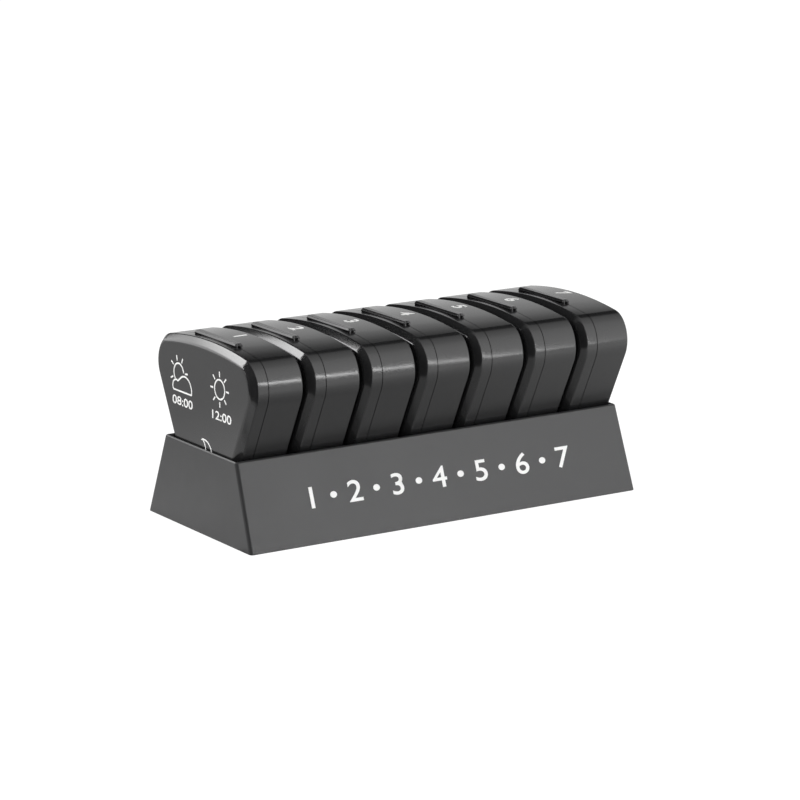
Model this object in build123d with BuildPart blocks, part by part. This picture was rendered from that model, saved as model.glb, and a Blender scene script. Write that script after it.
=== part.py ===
import os
from math import acos, asin, atan2, cos, hypot, sin, tan

from build123d import *

# Weekly pill box: seven clamshell day boxes standing side by side in a flared tray.
# Millimetres, +Z up. X runs along the row with the lids facing -X, the tray's front faces -Y.

# Day box, driving sizes
box_count = 7
box_gap = 2.5  # air between neighbouring boxes
lid_depth = 7.2  # front half, along the row
body_depth = 14.95  # rear half, along the row
box_height = 65.2  # foot of the outline to the middle of the crown
box_width = 73.0  # at the widest level
box_foot_width = 24.8
cheek_radius = 13.0  # round sides at the widest level
cheek_top_drop = 0.6  # from the middle of the crown down to the top of the cheek rounds
crown_radius = 170.0  # gently arched top
shoulder_radius = 8.5  # blends the crown into the cheeks
foot_corner_radius = 3.5
bevel = 2.5  # slope round the lid's face
rear_bevel = 0.8
wall = 1.6
face_wall = 2.0
seam_gap = 0.3
foot_rail_height = 2.2
foot_rail_width = 1.6
foot_rail_length = 9.5
foot_rail_spacing = 15.0
foot_rail_inset = 3.2  # from the seam to the rails

# Three pockets in a day box
divider = 1.3
divider_meet_drop = 12.8  # below the widest level
divider_drop = 30.0  # degrees below level, for the two sloping walls

# Closing edge: a tongue on the body stands inside the lid's thinned rim
rim_lip = 0.7
tongue_clearance = 0.2
tongue_length = 1.0

# Thumb bar, a pair of ribs on both sides of the seam
bar_length = 31.0
bar_rib_width = 1.45
bar_gap = 0.4  # between the two ribs
bar_rise = 0.9  # above the middle of the crown
bar_root = 0.5  # into the wall below the bar's ends
bar_bevel = 0.45  # along the top and at the corners of each rib

# Hinge at the foot of the seam
barrel_radius = 1.8
knuckle_length = 6.0
lid_knuckle_length = 8.0
knuckle_gap = 0.3
barrel_clearance = 0.35
pin_radius = 0.8
pin_running_clearance = 0.05
pin_seat_clearance = 0.01
pin_inset = 0.3  # pin ends below the outer knuckle faces

# Tray, driving sizes
tray_height = 32.5
tray_wall = 1.5
tray_flare = 12.0  # how far each long wall leans out from rim to foot
tray_end_flare = 1.0
tray_corner_radius = 1.4
well_floor_level = 6.0
well_floor = 1.6
well_side_clearance = 0.7
well_end_clearance = 0.45
end_wall = 1.1  # at the rim
rim_bevel = 0.4
rib_radius = 1.3  # locating ribs on the well's sides, between the boxes
rib_drop = 3.0  # from the rim to the top of a rib

# Places worked out from the sizes above
box_foot = well_floor_level + foot_rail_height
box_top = box_foot + box_height
widest = box_top - cheek_top_drop - cheek_radius
pitch = lid_depth + body_depth + box_gap
row_length = box_count * pitch - box_gap
first_seam = -row_length / 2 + lid_depth
bar_top = box_top + bar_rise
tongue_inset = rim_lip + tongue_clearance
barrel_room = barrel_radius + barrel_clearance
lid_knuckle_end = lid_knuckle_length / 2
body_knuckle_start = lid_knuckle_end + knuckle_gap
hinge_half = body_knuckle_start + knuckle_length

# Outline of a day box: crown, blended shoulders, round cheeks, straight taper, flat foot
cheek_centre = box_width / 2 - cheek_radius
crown_centre = box_top - crown_radius
crown_to_cheek = hypot(cheek_centre, widest - crown_centre)
shoulder_reach = cheek_radius - shoulder_radius
shoulder_turn = atan2(widest - crown_centre, cheek_centre) - acos(
    ((crown_radius - shoulder_radius) ** 2 - crown_to_cheek**2 - shoulder_reach**2)
    / (2 * crown_to_cheek * shoulder_reach)
)
shoulder_centre = cheek_centre + shoulder_reach * cos(shoulder_turn)
shoulder_level = widest + shoulder_reach * sin(shoulder_turn)
crown_turn = atan2(shoulder_level - crown_centre, shoulder_centre)
crown_half = crown_radius * cos(crown_turn)
crown_level = crown_centre + crown_radius * sin(crown_turn)
middle_turn = (crown_turn + shoulder_turn) / 2
shoulder_half = shoulder_centre + shoulder_radius * cos(middle_turn)
shoulder_top = shoulder_level + shoulder_radius * sin(middle_turn)
cheek_half = cheek_centre + cheek_radius * cos(shoulder_turn)
cheek_level = widest + cheek_radius * sin(shoulder_turn)
taper_run = hypot(cheek_centre - box_foot_width / 2, widest - box_foot)
taper_steep = atan2(widest - box_foot, cheek_centre - box_foot_width / 2) - asin(cheek_radius / taper_run)
taper_half = cheek_centre + cheek_radius * sin(taper_steep)
taper_level = widest - cheek_radius * cos(taper_steep)


def taper_half_at(level):
    """Half width of a day box at a level on its straight taper."""
    return box_foot_width / 2 + (level - box_foot) / tan(taper_steep)


def box_outline(inset):
    """Flat outline of a day box, drawn in from its outer surface by the inset."""
    with BuildSketch() as outline:
        with BuildLine():
            ThreePointArc((-crown_half, crown_level), (0, box_top), (crown_half, crown_level))
            for side in (-1, 1):
                ThreePointArc(
                    (side * crown_half, crown_level),
                    (side * shoulder_half, shoulder_top),
                    (side * cheek_half, cheek_level),
                )
                ThreePointArc(
                    (side * cheek_half, cheek_level),
                    (side * box_width / 2, widest),
                    (side * taper_half, taper_level),
                )
                Line((side * taper_half, taper_level), (side * box_foot_width / 2, box_foot))
            Line((-box_foot_width / 2, box_foot), (box_foot_width / 2, box_foot))
        make_face()
        fillet(outline.vertices().group_by(Axis.Y)[0], radius=foot_corner_radius)
        if inset:
            offset(amount=-inset, kind=Kind.INTERSECTION, mode=Mode.REPLACE)
    return outline.sketch


def bar_rib(side):
    """Plan of the thumb bar's rib on one side of the seam: +1 rear, -1 front."""
    with BuildSketch() as plan:
        with Locations((-seam_gap / 2 + side * (bar_gap + bar_rib_width) / 2, 0)):
            Rectangle(bar_rib_width, bar_length)
        chamfer(plan.vertices(), length=bar_bevel)
    return plan.sketch


bar_end_level = crown_centre + (crown_radius**2 - (bar_length / 2) ** 2) ** 0.5
bar_height = bar_top - bar_end_level + bar_root

# Rear half: shell with three pockets, tongue, two hinge knuckles, one rib of the thumb bar, foot rails
with BuildPart() as body:
    with BuildSketch(Plane.YZ):
        add(box_outline(0))
    extrude(amount=body_depth - rear_bevel)
    with BuildSketch(Plane.YZ.offset(body_depth - rear_bevel)):
        add(box_outline(0))
    with BuildSketch(Plane.YZ.offset(body_depth)):
        add(box_outline(rear_bevel))
    loft(ruled=True)
    with BuildSketch(Plane.XY.offset(bar_top)):
        add(bar_rib(1))
    extrude(amount=-bar_height)
    chamfer(body.faces().sort_by(Axis.Z)[-1].edges(), length=bar_bevel)
    with BuildSketch(Plane.YZ.offset(-seam_gap - tongue_length)):
        add(box_outline(tongue_inset))
    extrude(amount=seam_gap + tongue_length)
    with BuildSketch(Plane.YZ.offset(-seam_gap - tongue_length)):
        add(box_outline(wall))
    extrude(amount=seam_gap + tongue_length, mode=Mode.SUBTRACT)
    with BuildSketch(Plane.YZ):
        add(box_outline(wall))
        with Locations((0, widest - divider_meet_drop)):
            Rectangle(divider, box_height, align=(Align.CENTER, Align.MIN), mode=Mode.SUBTRACT)
            for turn in (90 - divider_drop + 180, -(90 - divider_drop + 180)):
                Rectangle(
                    divider,
                    box_width,
                    rotation=turn,
                    align=(Align.CENTER, Align.MIN),
                    mode=Mode.SUBTRACT,
                )
    extrude(amount=body_depth - wall, mode=Mode.SUBTRACT)
    with Locations((0, 0, box_foot)):
        Box(
            2 * barrel_room,
            2 * body_knuckle_start,
            2 * barrel_room,
            mode=Mode.SUBTRACT,
        )
    for start in (body_knuckle_start, -hinge_half):
        with BuildSketch(Plane.XZ.offset(-start)):
            with Locations((0, box_foot)):
                Circle(barrel_radius)
        extrude(amount=-knuckle_length)
    with BuildSketch(Plane.XZ):
        with Locations((0, box_foot)):
            Circle(pin_radius + pin_seat_clearance)
    extrude(amount=hinge_half, both=True, mode=Mode.SUBTRACT)
    with Locations(Plane.XY.offset(well_floor_level)):
        with GridLocations(0, foot_rail_spacing, 1, 2):
            with Locations((foot_rail_inset, 0)):
                Box(
                    foot_rail_length,
                    foot_rail_width,
                    foot_rail_height,
                    align=(Align.MIN, Align.CENTER, Align.MIN),
                )

# Front half: bevelled shell with a thinned rim, one hinge knuckle, one rib of the thumb bar
with BuildPart() as lid:
    with BuildSketch(Plane.YZ.offset(bevel - lid_depth)):
        add(box_outline(0))
    extrude(amount=lid_depth - bevel - seam_gap)
    with BuildSketch(Plane.YZ.offset(bevel - lid_depth)):
        add(box_outline(0))
    with BuildSketch(Plane.YZ.offset(-lid_depth)):
        add(box_outline(bevel))
    loft(ruled=True)
    with BuildSketch(Plane.XY.offset(bar_top)):
        add(bar_rib(-1))
    extrude(amount=-bar_height)
    chamfer(lid.faces().sort_by(Axis.Z)[-1].edges(), length=bar_bevel)
    with BuildSketch(Plane.YZ.offset(face_wall - lid_depth)):
        add(box_outline(wall))
    extrude(amount=lid_depth - face_wall, mode=Mode.SUBTRACT)
    with BuildSketch(Plane.YZ.offset(-seam_gap - tongue_length - tongue_clearance)):
        add(box_outline(rim_lip))
    extrude(amount=tongue_length + tongue_clearance, mode=Mode.SUBTRACT)
    for middle in (-(body_knuckle_start + hinge_half) / 2, (body_knuckle_start + hinge_half) / 2):
        with Locations((0, middle, box_foot)):
            Box(
                2 * barrel_room,
                knuckle_length + 2 * knuckle_gap,
                2 * barrel_room,
                mode=Mode.SUBTRACT,
            )
    with BuildSketch(Plane.XZ):
        with Locations((0, box_foot)):
            Circle(barrel_radius)
    extrude(amount=lid_knuckle_end, both=True)
    with BuildSketch(Plane.XZ):
        with Locations((0, box_foot)):
            Circle(pin_radius + pin_running_clearance)
    extrude(amount=hinge_half, both=True, mode=Mode.SUBTRACT)

# Steel pin through the three knuckles
with BuildPart() as hinge_pin:
    with BuildSketch(Plane.XZ):
        with Locations((0, box_foot)):
            Circle(pin_radius)
    extrude(amount=hinge_half - pin_inset, both=True)

# Tray: flared skirt and a tapered well, moulded as one thin wall that is open underneath
rim_half = taper_half_at(tray_height) + well_side_clearance + tray_wall
foot_half = rim_half + tray_flare
floor_half = taper_half_at(well_floor_level) + well_side_clearance
well_length = row_length + 2 * well_end_clearance
rim_length_half = well_length / 2 + end_wall
foot_length_half = rim_length_half + tray_end_flare
skirt_slope = tray_flare / tray_height
skirt_across = tray_wall * hypot(1, skirt_slope)
well_slope = 1 / tan(taper_steep)
well_across = tray_wall * hypot(1, well_slope)
skirt_inner_foot = foot_half - skirt_across
under_level = well_floor_level - well_floor
under_half = taper_half_at(under_level) + well_side_clearance + well_across
peak_level = (skirt_inner_foot - under_half + under_level * well_slope) / (skirt_slope + well_slope)
peak_half = skirt_inner_foot - peak_level * skirt_slope

with BuildPart() as tray:
    with BuildSketch(Plane.YZ):
        Polygon(
            (-foot_half, 0),
            (-rim_half, tray_height),
            (rim_half, tray_height),
            (foot_half, 0),
            align=None,
        )
    extrude(amount=foot_length_half, both=True)
    with BuildSketch(Plane.XZ):
        Polygon(
            (-foot_length_half, 0),
            (-rim_length_half, tray_height),
            (rim_length_half, tray_height),
            (foot_length_half, 0),
            align=None,
        )
    extrude(amount=foot_half, both=True, mode=Mode.INTERSECT)
    fillet(tray.edges().group_by(Axis.Z)[1], radius=tray_corner_radius)
    with BuildSketch(Plane.YZ):
        Polygon(
            (-skirt_inner_foot, 0),
            (-peak_half, peak_level),
            (-under_half, under_level),
            (under_half, under_level),
            (peak_half, peak_level),
            (skirt_inner_foot, 0),
            align=None,
        )
    extrude(amount=well_length / 2, both=True, mode=Mode.SUBTRACT)
    with BuildSketch(Plane.YZ):
        Polygon(
            (-floor_half, well_floor_level),
            (-rim_half + tray_wall, tray_height),
            (rim_half - tray_wall, tray_height),
            (floor_half, well_floor_level),
            align=None,
        )
    extrude(amount=well_length / 2, both=True, mode=Mode.SUBTRACT)
    chamfer(tray.edges().group_by(Axis.Z)[-1], length=rim_bevel)
    for side in (-1, 1):
        climb = Vector(0, side * cos(taper_steep), sin(taper_steep))
        for number in range(1, box_count):
            gap_middle = -row_length / 2 + number * pitch - box_gap / 2
            with BuildSketch(Plane((gap_middle, side * floor_half, well_floor_level), z_dir=climb)):
                Circle(rib_radius)
            extrude(amount=(tray_height - rib_drop - well_floor_level) / sin(taper_steep))

os.makedirs("parts", exist_ok=True)
tray.part.label = "tray"
export_step(tray.part, "parts/tray.step")
for number in range(1, box_count + 1):
    seam = first_seam + (number - 1) * pitch
    for piece, name in ((body, "box_body"), (lid, "box_lid"), (hinge_pin, "hinge_pin")):
        with BuildPart() as placed:
            with Locations((seam, 0, 0)):
                add(piece.part)
        placed.part.label = f"{name}_{number}"
        export_step(placed.part, f"parts/{placed.part.label}.step")
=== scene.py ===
from math import cos, radians, sin

import bpy
from mathutils import Matrix, Vector


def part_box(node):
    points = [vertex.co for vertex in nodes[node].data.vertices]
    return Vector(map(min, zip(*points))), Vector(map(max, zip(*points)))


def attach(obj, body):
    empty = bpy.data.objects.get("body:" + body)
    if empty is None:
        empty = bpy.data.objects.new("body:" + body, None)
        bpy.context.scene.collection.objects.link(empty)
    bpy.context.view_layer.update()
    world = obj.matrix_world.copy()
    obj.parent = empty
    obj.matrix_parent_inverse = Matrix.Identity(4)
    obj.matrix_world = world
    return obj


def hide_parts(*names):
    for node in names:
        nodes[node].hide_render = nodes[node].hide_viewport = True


# The weekly pill box as it was packed: a tray, and day boxes that each have a body, a lid and a pin.
# Every length below is in metres, in the frame of these pieces, with the tray's front towards -Y.
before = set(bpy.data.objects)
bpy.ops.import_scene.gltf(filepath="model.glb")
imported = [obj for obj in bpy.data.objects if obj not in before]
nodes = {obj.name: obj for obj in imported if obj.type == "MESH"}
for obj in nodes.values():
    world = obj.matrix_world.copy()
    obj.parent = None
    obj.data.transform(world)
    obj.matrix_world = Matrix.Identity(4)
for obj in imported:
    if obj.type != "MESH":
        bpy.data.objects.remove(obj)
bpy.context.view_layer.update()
box_numbers = range(1, sum(name.startswith("box_lid_") for name in nodes) + 1)


# Tray: one injection moulding in satin black plastic, open underneath, with a fine spark texture from
# the mould on its outside. The boxes stand in its well with a little play.
class Wire:
    """A shader socket that sums and products in Python can use."""

    def __init__(self, socket):
        self.socket = socket

    def node(self, kind, settings=None, sockets=None, output=0):
        """Adds a node to the same shader: its settings first, then the values or links of its sockets."""
        tree = self.socket.id_data
        made = tree.nodes.new("ShaderNode" + kind)
        for name, value in (settings or {}).items():
            setattr(made, name, value)
        for name, value in (sockets or {}).items():
            if isinstance(value, Wire):
                tree.links.new(value.socket, made.inputs[name])
            else:
                made.inputs[name].default_value = value
        return Wire(made.outputs[output]) if made.outputs else None

    def math(self, operation, first, second):
        return self.node("Math", {"operation": operation}, {0: first, 1: second})

    def __add__(self, other):
        return self.math("ADD", self, other)

    def __sub__(self, other):
        return self.math("SUBTRACT", self, other)

    def __rsub__(self, other):
        return self.math("SUBTRACT", other, self)

    def __mul__(self, other):
        return self.math("MULTIPLY", self, other)

    __radd__ = __add__
    __rmul__ = __mul__


def new_finish(name):
    """An empty material and its Object coordinates."""
    material = bpy.data.materials.new(name)
    material.use_nodes = True
    material.node_tree.nodes.clear()
    return material, Wire(material.node_tree.nodes.new("ShaderNodeTexCoord").outputs["Object"])


def moulded_plastic(name, dark, light, roughness, roughness_spread, grain_size, grain_depth, bending):
    """Dyed plastic with slow flow mottling, uneven gloss and a fine mould grain."""
    flow_scale, wiped_scale = 38.0, 140.0
    material, place = new_finish(name)
    flow = place.node(
        "TexNoise", sockets={"Vector": place, "Scale": flow_scale, "Detail": 3.0, "Distortion": 0.6}
    )
    wiped = place.node("TexNoise", sockets={"Vector": place, "Scale": wiped_scale, "Detail": 4.0})
    grain = place.node("TexNoise", sockets={"Vector": place, "Scale": 1 / grain_size, "Detail": 2.0})
    colour = place.node(
        "Mix", {"data_type": "RGBA"}, {0: flow, 6: (*dark, 1.0), 7: (*light, 1.0)}, output=2
    )
    gloss = roughness + (wiped + flow - 1.0) * roughness_spread
    relief = place.node("Bump", sockets={"Strength": 1.0, "Distance": grain_depth, "Height": grain})
    shader = place.node(
        "BsdfPrincipled",
        sockets={"Base Color": colour, "Roughness": gloss, "Normal": relief, "IOR": bending},
    )
    place.node("OutputMaterial", sockets={"Surface": shader})
    return material


tray_plastic = moulded_plastic(
    "satin_tray_plastic",
    dark=(0.020, 0.020, 0.021),
    light=(0.029, 0.029, 0.030),
    roughness=0.40,
    roughness_spread=0.10,
    grain_size=0.0005,
    grain_depth=0.000005,
    bending=1.46,
)
weld = 0.000002


def select_only(piece):
    bpy.ops.object.select_all(action="DESELECT")
    piece.select_set(True)
    bpy.context.view_layer.objects.active = piece


def merged_copy(node, name):
    """A copy of a CAD node as one skin, with its flat faces whole again."""
    flat_within = radians(0.1)
    piece = bpy.data.objects.new(name, nodes[node].data.copy())
    bpy.context.scene.collection.objects.link(piece)
    select_only(piece)
    bpy.ops.object.mode_set(mode="EDIT")
    bpy.ops.mesh.select_all(action="SELECT")
    bpy.ops.mesh.remove_doubles(threshold=weld)
    bpy.ops.mesh.customdata_custom_splitnormals_clear()
    bpy.ops.mesh.dissolve_limited(angle_limit=flat_within)
    bpy.ops.object.mode_set(mode="OBJECT")
    return piece


def round_edges(piece, picked, radius, segments):
    """Rounds the true edges, where faces meet at an angle, whose two ends pass a test of their place."""
    least_turn = radians(8)
    select_only(piece)
    bpy.ops.object.mode_set(mode="EDIT")
    bpy.ops.mesh.select_mode(type="EDGE")
    bpy.ops.mesh.select_all(action="DESELECT")
    bpy.ops.object.mode_set(mode="OBJECT")
    normals = {}
    for face in piece.data.polygons:
        for key in face.edge_keys:
            normals.setdefault(key, []).append(face.normal)
    for edge in piece.data.edges:
        sides = normals[edge.key]
        turned = len(sides) == 2 and sides[0].angle(sides[1]) > least_turn
        edge.select = turned and all(picked(piece.data.vertices[end].co) for end in edge.vertices)
    bpy.ops.object.mode_set(mode="EDIT")
    bpy.ops.mesh.bevel(
        offset=radius, segments=segments, affect="EDGES", clamp_overlap=False, loop_slide=False
    )
    bpy.ops.object.mode_set(mode="OBJECT")


def smooth(piece):
    """Smooth shading that keeps the wide faces true and lets the small roundings carry the turn."""
    sharp_from = radians(28)
    select_only(piece)
    bpy.ops.object.shade_smooth_by_angle(angle=sharp_from)
    for modifier in list(piece.modifiers):
        bpy.ops.object.modifier_apply(modifier=modifier.name)
    weighted = piece.modifiers.new("weighted_normals", "WEIGHTED_NORMAL")
    weighted.keep_sharp = True
    weighted.weight = 100
    bpy.ops.object.modifier_apply(modifier=weighted.name)


def near(value, level, within=0.00002):
    return abs(value - level) < within


tray_low, tray_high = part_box("tray")
rim_bevel = 0.0004
rim_level = tray_high.z - 1.2 * rim_bevel
mouth_x, mouth_y = 0.0859, 0.0256
rim_radius = 0.00012
foot_radius = 0.0003
foot_wall = 0.0015
soft_tray = merged_copy("tray", "tray_shell")
round_edges(
    soft_tray,
    lambda at: at.z > rim_level and (abs(at.x) > mouth_x or abs(at.y) > mouth_y),
    rim_radius,
    segments=2,
)
round_edges(
    soft_tray,
    lambda at: near(at.z, 0.0) and (near(abs(at.y), tray_high.y) or abs(at.x) > tray_high.x - foot_wall),
    foot_radius,
    segments=2,
)
soft_tray.data.materials.clear()
soft_tray.data.materials.append(tray_plastic)
smooth(soft_tray)
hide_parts("tray")
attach(soft_tray, "tray")

# Day boxes: clamshells in glossy black plastic, a deep rear half with the pockets and a shallow lid.
# The lid turns on knuckles at the foot, and one rib of the thumb bar is moulded on each half.
box_plastic = moulded_plastic(
    "glossy_box_plastic",
    dark=(0.012, 0.012, 0.0125),
    light=(0.018, 0.018, 0.0185),
    roughness=0.17,
    roughness_spread=0.025,
    grain_size=0.0030,
    grain_depth=0.00000015,
    bending=1.5,
)
lid_low, lid_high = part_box("box_lid_1")
body_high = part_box("box_body_1")[1]
face_x = lid_low.x
rear_x = body_high.x
lid_depth = 0.0072
lid_bevel = 0.0025
rear_bevel = 0.0008
face_radius = 0.0008
bevel_radius = 0.00035
rear_radius = 0.0003
half_seam_gap = 0.00015
soft_lid = merged_copy("box_lid_1", "day_lid_1")
round_edges(soft_lid, lambda at: near(at.x, face_x), face_radius, segments=4)
round_edges(soft_lid, lambda at: near(at.x, face_x + lid_bevel), bevel_radius, segments=2)
soft_body = merged_copy("box_body_1", "day_body_1")
round_edges(soft_body, lambda at: near(at.x, rear_x), rear_radius, segments=2)
round_edges(soft_body, lambda at: near(at.x, rear_x - rear_bevel), rear_radius, segments=2)
seam_middle = face_x + lid_depth - half_seam_gap


def close_bar(half, side, top):
    """Makes a rib one half of a rod: it meets its twin, slopes outside and draws its foot in below."""
    rib_inner, rib_outer = 0.00006, 0.00165
    flat_outer, foot_outer = 0.00115, 0.0013
    bevel_level, foot_level, slope_level = top - 0.0005, top - 0.0017, top - 0.00085
    slope_drop = 0.00035
    inner_reach = 0.0003
    end_corner_from, end_corner_to = 0.0007, 0.0011
    corner_y, corner_draw, end_draw = 0.015, 0.98, 0.984
    bar_radius = 0.0001

    def from_seam(at):
        return side * (at.x - seam_middle)

    def on_outer_edge(at):
        out = from_seam(at)
        on_flat = near(out, flat_outer) and near(at.z, top)
        return at.z > slope_level and (near(out, rib_outer) or on_flat)

    for corner in half.data.vertices:
        at = corner.co
        out = from_seam(at)
        if at.z < bevel_level:
            if near(out, rib_outer) and at.z > foot_level:
                at.x = seam_middle + side * foot_outer
            continue
        if near(at.z, top):
            at.y *= corner_draw if abs(at.y) < corner_y else end_draw
            if end_corner_from < out < end_corner_to:
                out = (rib_inner + flat_outer) / 2
            else:
                out = flat_outer if out > end_corner_from else rib_inner
        else:
            at.z -= slope_drop
            if out < inner_reach:
                out = rib_inner
        at.x = seam_middle + side * out
    select_only(half)
    bpy.ops.object.mode_set(mode="EDIT")
    bpy.ops.mesh.select_all(action="SELECT")
    bpy.ops.mesh.remove_doubles(threshold=weld)
    bpy.ops.object.mode_set(mode="OBJECT")
    round_edges(half, on_outer_edge, bar_radius, segments=3)


close_bar(soft_lid, -1, lid_high.z)
close_bar(soft_body, 1, body_high.z)
day_halves = {}
for first, node in ((soft_lid, "box_lid"), (soft_body, "box_body")):
    first.data.materials.clear()
    first.data.materials.append(box_plastic)
    smooth(first)
    for number in box_numbers:
        half = first
        if number > 1:
            half = first.copy()
            half.data = first.data.copy()
            half.name = first.name.replace("_1", f"_{number}")
            bpy.context.scene.collection.objects.link(half)
            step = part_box(f"{node}_{number}")[0].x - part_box(f"{node}_1")[0].x
            half.data.transform(Matrix.Translation((step, 0, 0)))
        day_halves[half.name] = half
for number in box_numbers:
    for name, node, body in (("day_lid", "box_lid", "lid"), ("day_body", "box_body", "box")):
        half = day_halves[f"{name}_{number}"]
        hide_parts(f"{node}_{number}")
        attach(half, f"{body}_{number}")

# Hinge pins: short pieces of drawn steel wire, pressed into the two outer knuckles of each body.
# Drawing leaves fine lines along the wire.
pin_steel, place = new_finish("drawn_pin_steel")
across_wire, along_wire = 9000.0, 300.0
draw_line_depth = 0.000004
along = place.node(
    "Mapping", sockets={"Vector": place, "Scale": (across_wire, along_wire, across_wire)}
)
lines = place.node("TexNoise", sockets={"Vector": along, "Scale": 1.0, "Detail": 2.0})
steel = place.node(
    "BsdfPrincipled",
    sockets={
        "Base Color": (0.60, 0.60, 0.61, 1.0),
        "Metallic": 1.0,
        "Roughness": 0.24 + lines * 0.16,
        "Normal": place.node(
            "Bump", sockets={"Strength": 0.5, "Distance": draw_line_depth, "Height": lines}
        ),
    },
)
place.node("OutputMaterial", sockets={"Surface": steel})
for number in box_numbers:
    nodes[f"hinge_pin_{number}"].material_slots[0].material = pin_steel

# Prints on the lids: a sun behind a cloud, a sun and a moon with a time under each, in white ink.
# The ink is pad printed on the flat face, so it is a thin raised film.
ink_white, place = new_finish("white_pad_ink")
ink_thin, ink_full = (0.86, 0.86, 0.85, 1.0), (0.95, 0.95, 0.94, 1.0)
ink_relief = 0.00001
cover = place.node("TexNoise", sockets={"Vector": place, "Scale": 900.0, "Detail": 3.0})
ink_colour = place.node("Mix", {"data_type": "RGBA"}, {0: cover, 6: ink_thin, 7: ink_full}, output=2)
ink = place.node(
    "BsdfPrincipled",
    sockets={
        "Base Color": ink_colour,
        "Roughness": 0.45 + cover * 0.15,
        "Normal": place.node("Bump", sockets={"Strength": 0.4, "Distance": ink_relief, "Height": cover}),
    },
)
place.node("OutputMaterial", sockets={"Surface": ink})
ink_film = 0.00004
line_width = 0.00068


def as_film(piece):
    """Makes a flat curve or text a mesh that lies in its own XY plane, as thick as the film of ink."""
    select_only(piece)
    bpy.ops.object.convert(target="MESH")
    thick = max(piece.dimensions.z, ink_film)
    piece.scale.z = ink_film / thick
    bpy.ops.object.transform_apply(location=False, rotation=False, scale=True)
    return piece


def ink_line(path, closed):
    """A printed line through the points of a path, given as (right, up) on the printed face."""
    bpy.ops.curve.primitive_bezier_curve_add()
    line = bpy.context.object
    line.data.splines.clear()
    spline = line.data.splines.new("POLY")
    spline.points.add(len(path) - 1)
    for point, (right, up) in zip(spline.points, path):
        point.co = (right, up, 0.0, 1.0)
    spline.use_cyclic_u = closed
    line.data.bevel_depth = line_width / 2
    line.data.bevel_resolution = 2
    line.data.use_fill_caps = not closed
    return as_film(line)


def ink_text(words, height, weight, stretch):
    """Printed figures centred on their own origin, fattened by weight and widened by stretch."""
    figure_share = 0.73
    figure_weld = 0.000001
    straight_within = radians(0.5)
    bpy.ops.object.text_add()
    text = bpy.context.object
    text.data.body = words
    text.data.size = height / figure_share
    text.data.align_x = "CENTER"
    text.data.align_y = "CENTER"
    text.data.extrude = height / 8
    text.scale.x = stretch
    select_only(text)
    bpy.ops.object.convert(target="MESH")
    bpy.ops.object.transform_apply()
    bpy.ops.object.mode_set(mode="EDIT")
    bpy.ops.mesh.select_all(action="SELECT")
    bpy.ops.mesh.remove_doubles(threshold=figure_weld)
    bpy.ops.mesh.dissolve_limited(angle_limit=straight_within)
    bpy.ops.transform.shrink_fatten(value=weight, use_even_offset=True)
    bpy.ops.object.mode_set(mode="OBJECT")
    return as_film(text)


def arc(right, up, radius, start, end, steps):
    """Points of an arc, with angles in degrees turning from right towards up."""
    turns = [radians(start + (end - start) * step / steps) for step in range(steps + 1)]
    return [(right + radius * cos(turn), up + radius * sin(turn)) for turn in turns]


def rays(right, up, inner, outer, angles):
    """Short lines that point away from a middle, at angles in degrees."""
    for angle in angles:
        turn = radians(angle)
        ends = [(right + reach * cos(turn), up + reach * sin(turn)) for reach in (inner, outer)]
        yield ink_line(ends, closed=False)


def join(pieces, name):
    """Makes flat pieces one printed piece in the white ink."""
    select_only(pieces[0])
    for piece in pieces:
        piece.select_set(True)
    bpy.ops.object.join()
    joined = bpy.context.object
    joined.name = name
    joined.data.name = name
    joined.data.materials.clear()
    joined.data.materials.append(ink_white)
    return joined


# seen from in front of the lid, right is -Y and up is +Z
sun_radius = 0.0037
ray_inner = 0.0047
ray_outer = 0.0068
morning = (-0.0178, 0.0578)
noon = (0.0128, 0.0573)
moon = (0.0009, 0.0302)
time_height = 0.0034
time_weight, time_stretch = 0.00006, 1.5
time_level = 0.0469
night_time_level = 0.0200
lid_marks = [
    ink_line(arc(*noon, sun_radius, 0, 360, 48)[:-1], closed=True),
    *rays(*noon, ray_inner, ray_outer, range(0, 360, 45)),
]
cloud_base = 0.0509
cloud_left, cloud_right = -0.0218, -0.0086
big_lobe = (-0.0134, 0.0519, 0.0052)
small_lobe = (-0.0199, 0.0523, 0.0026)
lid_marks.append(
    ink_line(
        [
            *arc(*big_lobe, -10, 128, 24),
            *arc(*small_lobe, 60, 200, 14),
            (cloud_left, cloud_base),
            (cloud_right, cloud_base),
        ],
        closed=True,
    )
)
lid_marks.append(ink_line(arc(*morning, sun_radius, 8, 222, 30), closed=False))
lid_marks += rays(*morning, ray_inner, ray_outer, (5, 62, 103, 146, 205))
moon_radius = 0.0056
bite = (-0.0028, 0.0317)
bite_radius = 0.0047
moon_back = arc(*moon, moon_radius, -141, 113, 40)
moon_front = arc(*bite, bite_radius, 61, -92, 24)
lid_marks.append(ink_line([*moon_back, *moon_front], closed=True))
times = (("08:00", -0.0152, time_level), ("12:00", 0.0135, time_level), ("20:00", 0.0, night_time_level))
for words, right, up in times:
    figures = ink_text(words, time_height, time_weight, time_stretch)
    figures.location = (right, up, 0.0)
    select_only(figures)
    bpy.ops.object.transform_apply()
    lid_marks.append(figures)
lid_print = join(lid_marks, "lid_print_1")
lid_print.data.transform(Matrix(((0, 0, -1, face_x), (-1, 0, 0, 0), (0, 1, 0, 0), (0, 0, 0, 1))))
for number in box_numbers:
    print_copy = lid_print
    if number > 1:
        select_only(lid_print)
        bpy.ops.object.duplicate()
        print_copy = bpy.context.object
        print_copy.name = f"lid_print_{number}"
        print_copy.data.transform(Matrix.Translation((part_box(f"box_lid_{number}")[0].x - face_x, 0, 0)))
for number in box_numbers:
    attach(bpy.data.objects[f"lid_print_{number}"], f"lid_{number}")

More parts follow.
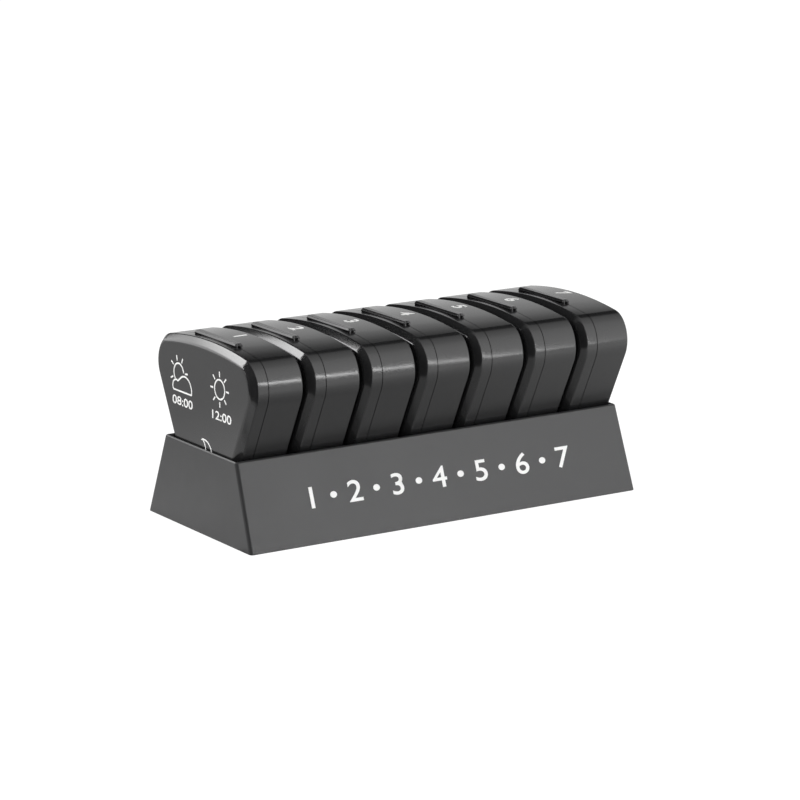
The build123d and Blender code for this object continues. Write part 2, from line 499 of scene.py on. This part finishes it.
# Day numbers: one white figure printed on the arched top of each body, read from the lid's side.
# The ink follows the arch.
number_height = 0.0056
number_weight, number_stretch = 0.00018, 1.35
number_behind_seam = 0.0090
for number in box_numbers:
    flat_figure = ink_text(str(number), number_height, number_weight, number_stretch)
    figure = join([flat_figure], f"box_number_{number}")
    top_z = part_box(f"box_body_{number}")[1].z
    seam_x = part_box(f"box_lid_{number}")[0].x + lid_depth
    up_is_x = Matrix(
        ((0, 1, 0, seam_x + number_behind_seam), (-1, 0, 0, 0.0), (0, 0, 1, top_z), (0, 0, 0, 1))
    )
    figure.data.transform(up_is_x)
    select_only(figure)
    bpy.ops.object.mode_set(mode="EDIT")
    bpy.ops.mesh.select_mode(type="FACE")
    bpy.ops.mesh.select_all(action="DESELECT")
    bpy.ops.object.mode_set(mode="OBJECT")
    for face in figure.data.polygons:
        face.select = face.normal.z < 0.5
    bpy.ops.object.mode_set(mode="EDIT")
    bpy.ops.mesh.delete(type="FACE")
    bpy.ops.object.mode_set(mode="OBJECT")
    drop = figure.modifiers.new("drop_on_top", "SHRINKWRAP")
    drop.wrap_method = "PROJECT"
    drop.use_project_z = True
    drop.use_negative_direction = True
    drop.use_positive_direction = False
    drop.target = nodes[f"box_body_{number}"]
    film = figure.modifiers.new("ink_body", "SOLIDIFY")
    film.thickness = ink_film
    film.offset = 1.0
    select_only(figure)
    bpy.ops.object.modifier_apply(modifier=drop.name)
    bpy.ops.object.modifier_apply(modifier=film.name)
    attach(figure, f"box_{number}")

# Tray numbers: a row of larger figures with dots between them, printed in the middle of the front wall.
# The wall leans back, so the print leans with it.
front_wall = max(
    (face for face in nodes["tray"].data.polygons if face.normal.y < -0.8), key=lambda face: face.area
)
wall_out = front_wall.normal.normalized()
wall_slope = Vector((1, 0, 0)).cross(-wall_out)
print_up_wall = 0.0171
wall_figure_height = 0.0084
wall_dot_height = wall_figure_height * 0.8
wall_weight, wall_stretch = 0.0001, 1.2
figure_pitch = 0.0190
print_middle = -0.0005
wall_marks = []
for number in box_numbers:
    steps = [(str(number), wall_figure_height, number)]
    if number < box_numbers[-1]:
        steps.append(("•", wall_dot_height, number + 0.5))
    for words, height, count in steps:
        mark = ink_text(words, height, wall_weight, wall_stretch)
        along_wall = print_middle + (count - (box_numbers[-1] + 1) / 2) * figure_pitch
        middle = Vector((along_wall, tray_low.y, 0)) + wall_slope * print_up_wall
        turn = Matrix((Vector((1, 0, 0)), wall_slope, wall_out)).transposed().to_4x4()
        mark.data.transform(Matrix.Translation(middle) @ turn)
        wall_marks.append(mark)
tray_print = join(wall_marks, "tray_numbers")
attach(tray_print, "tray")

# Studio: a white floor and backdrop with a wide softbox in front on the right and a lamp on the left.
# Boards that only show in the gloss of the plastic shape its reflections; on the floor by the tray they
# carry painted shade.
world = bpy.data.worlds.new("white_studio")
bpy.context.scene.world = world
world.use_nodes = True
world.node_tree.nodes.clear()


def shown_to_eye(light_path):
    """1 for camera, glossy and transmission rays, and 0 for the rays that only carry light."""
    camera_ray, glossy, through = [
        Wire(light_path.outputs[f"Is {kind} Ray"]) for kind in ("Camera", "Glossy", "Transmission")
    ]
    return camera_ray.math("MAXIMUM", camera_ray.math("MAXIMUM", camera_ray, glossy), through)


eye = shown_to_eye(world.node_tree.nodes.new("ShaderNodeLightPath"))
pure_white = (1.0, 1.0, 1.0, 1.0)
fill_strength = 0.60
fill = eye.node("Background", sockets={"Color": pure_white, "Strength": fill_strength})
white = eye.node("Background", sockets={"Color": pure_white, "Strength": 1.0})
both = eye.node("MixShader", sockets={0: eye, 1: fill, 2: white})
eye.node("OutputWorld", sockets={"Surface": both})

bpy.ops.mesh.primitive_plane_add(size=40.0, location=(0, 0, 0))
floor = bpy.context.object
floor.name = "floor"
floor_white, place = new_finish("white_floor")
floor_grey = (0.80, 0.80, 0.80, 1.0)
floor_glow = 1.30
floor_shade = 0.30
lamp_lit = place.node("BsdfDiffuse", sockets={"Color": floor_grey})
glow = place.node("Emission", sockets={"Color": pure_white, "Strength": floor_glow})
shade_share = place.node("MixShader", sockets={0: floor_shade, 1: glow, 2: lamp_lit})
floor_eye = shown_to_eye(floor_white.node_tree.nodes.new("ShaderNodeLightPath"))
floor_mix = place.node("MixShader", sockets={0: floor_eye, 1: lamp_lit, 2: shade_share})
place.node("OutputMaterial", sockets={"Surface": floor_mix})
floor.data.materials.append(floor_white)


def aimed(thing, place_at, aim_at):
    """Puts a lamp at its place and turns it towards what it lights."""
    thing.location = place_at
    thing.rotation_euler = (Vector(aim_at) - Vector(place_at)).to_track_quat("-Z", "Y").to_euler()
    return thing


def lamp(name, place_at, aim_at, width, height, power):
    bpy.ops.object.light_add(type="AREA")
    light = aimed(bpy.context.object, place_at, aim_at)
    light.name = name
    light.data.shape = "RECTANGLE"
    light.data.size = width
    light.data.size_y = height
    light.data.energy = power
    light.visible_camera = False
    return light


def board(name, place_at, aim_at, width, height, levels, up=(0.0, 0.0, 1.0), ramp=(0.0, 1.0)):
    """A glowing or black board, seen in reflections only, with a lower and an upper level of light.

    up points from its lower to its upper edge, and the level changes over the ramp's share of that way.
    """
    bpy.ops.mesh.primitive_plane_add(size=1.0)
    card = bpy.context.object
    card.name = name
    back_of = (Vector(place_at) - Vector(aim_at)).normalized()
    right_of = Vector(up).cross(back_of).normalized()
    turn = Matrix((right_of, back_of.cross(right_of), back_of)).transposed().to_4x4()
    card.matrix_world = Matrix.Translation(place_at) @ turn @ Matrix.Diagonal((width, height, 1.0, 1.0))
    card.visible_camera = False
    card.visible_diffuse = False
    card.visible_shadow = False
    card.visible_transmission = False
    paint, place = new_finish(name)
    peak = max(*levels, 0.001)
    lower_grey, upper_grey = [(*[level / peak] * 3, 1.0) for level in levels]
    rise = place.node("SeparateXYZ", sockets={0: place}, output=1) + (0.5 - ramp[0])
    share = rise * (1 / (ramp[1] - ramp[0]))
    grey = place.node("Mix", {"data_type": "RGBA"}, {0: share, 6: lower_grey, 7: upper_grey}, output=2)
    shine = place.node("Emission", sockets={"Color": grey, "Strength": peak})
    place.node("OutputMaterial", sockets={"Surface": shine})
    card.data.materials.append(paint)


def floor_board(name, middle, width, depth, levels, up=(0.0, 1.0, 0.0), ramp=(0.0, 1.0)):
    """A board that lies flat on the floor."""
    board(name, middle, (middle[0], middle[1], -1.0), width, depth, levels, up, ramp)


softbox = lamp(
    "front_right_softbox", (0.50, -0.78, 0.50), (0.0, 0.0, 0.03), width=1.3, height=0.80, power=5.0
)
softbox.visible_glossy = False
lamp("left_lamp", (-0.9, 0.10, 0.45), (0.0, 0.0, 0.04), width=0.5, height=0.5, power=4.0)
strip_width, upper_height, lower_height = 0.028, 1.0, 0.60
strip = Vector((0.403, -0.667, 0.104))
strip_up = Vector((-0.100, -0.067, 0.202)).normalized()
facing = (Vector((0.0, -0.036, 0.06)) - strip).normalized()
above = facing.cross(strip_up).normalized()
upper = strip + above * ((strip_width + upper_height) / 2)
lower = strip - above * ((strip_width + lower_height) / 2)
board("streak_strip", strip, strip + facing, strip_width, 0.50, (13.0, 29.0), strip_up, (0.45, 0.75))
board("upper_front_board", upper, upper + facing, 3.0, upper_height, (2.6, 1.1), above)
board("low_front_board", lower, lower + facing, 1.6, lower_height, (1.5, 1.8), above)
board("overhead_board", (0.6, 0.05, 1.2), (0.6, 0.05, 0.0), 3.0, 1.5, (1.6, 0.0), (0.0, 1.0, 0.0))
# The front floor board glows brighter far out and darker towards the tray: the darker part is painted
# shade of the floor near the tray, seen only in reflections.
floor_turn = radians(30)
floor_up = (-sin(floor_turn), cos(floor_turn), 0.0)
floor_board(
    "front_floor_board", (0.325, -0.263, 0.00015), 1.6, 0.82, (1.8, 0.58), floor_up, (0.671, 0.902)
)
# A dark strip on the floor along the tray's foot, seen only in reflections: painted shadow where the tray
# stands on the floor.
floor_board("tray_foot_board", (0.10, -0.0400, 0.0003), 0.6, 0.0026, (0.05, 0.05))
floor_board("left_floor_board", (-0.29, -0.29, 0.0003), 0.40, 0.43, (0.03, 0.03))
floor_board("lid_floor_board", (-0.42, 0.46, 0.00015), 0.66, 0.90, (1.2, 0.76), ramp=(0.06, 0.18))
black = (0.0, 0.0)
board("left_upper_board", (-0.55, 0.02, 0.50), (0.0, 0.0, 0.07), 1.0, 0.5, black)
board("front_left_board", (-0.22, -0.13, 0.125), (-0.08, -0.037, 0.125), 0.5, 0.25, black)
rear_middle, rear_aim = (0.43, 0.67, 0.63), (0.0, 0.0, 0.63)
board("rear_right_board", rear_middle, rear_aim, 1.6, 1.26, (0.75, 0.0), ramp=(0.30, 0.41))
board("rear_left_board", (-0.145, 0.405, 0.338), (-0.02, 0.0, 0.073), 0.6, 0.40, black)
bevel_middle, bevel_aim = (-0.173, 0.165, 0.138), (-0.173, 0.122, 0.048)
board("bevel_board", bevel_middle, bevel_aim, 0.158, 0.20, (2.9, 12.0), ramp=(0.56, 1.0))

# Camera: at the photograph's viewing angle, in front of the tray and to its left, with a long lens.
# It looks at the middle of the row.
aim = Vector((0.00259, 0.0, 0.03961))
distance = 1.3699
azimuth = radians(-32.91)
elevation = radians(13.282)
back = Vector((sin(azimuth) * cos(elevation), -cos(azimuth) * cos(elevation), sin(elevation)))
bpy.ops.object.camera_add(location=aim + back * distance)
camera = bpy.context.object
camera.rotation_euler = (-back).to_track_quat("-Z", "Y").to_euler()
camera.data.lens = 159.54
camera.data.sensor_width = 36.0
bpy.context.scene.camera = camera
bpy.context.scene.view_settings.view_transform = "Standard"
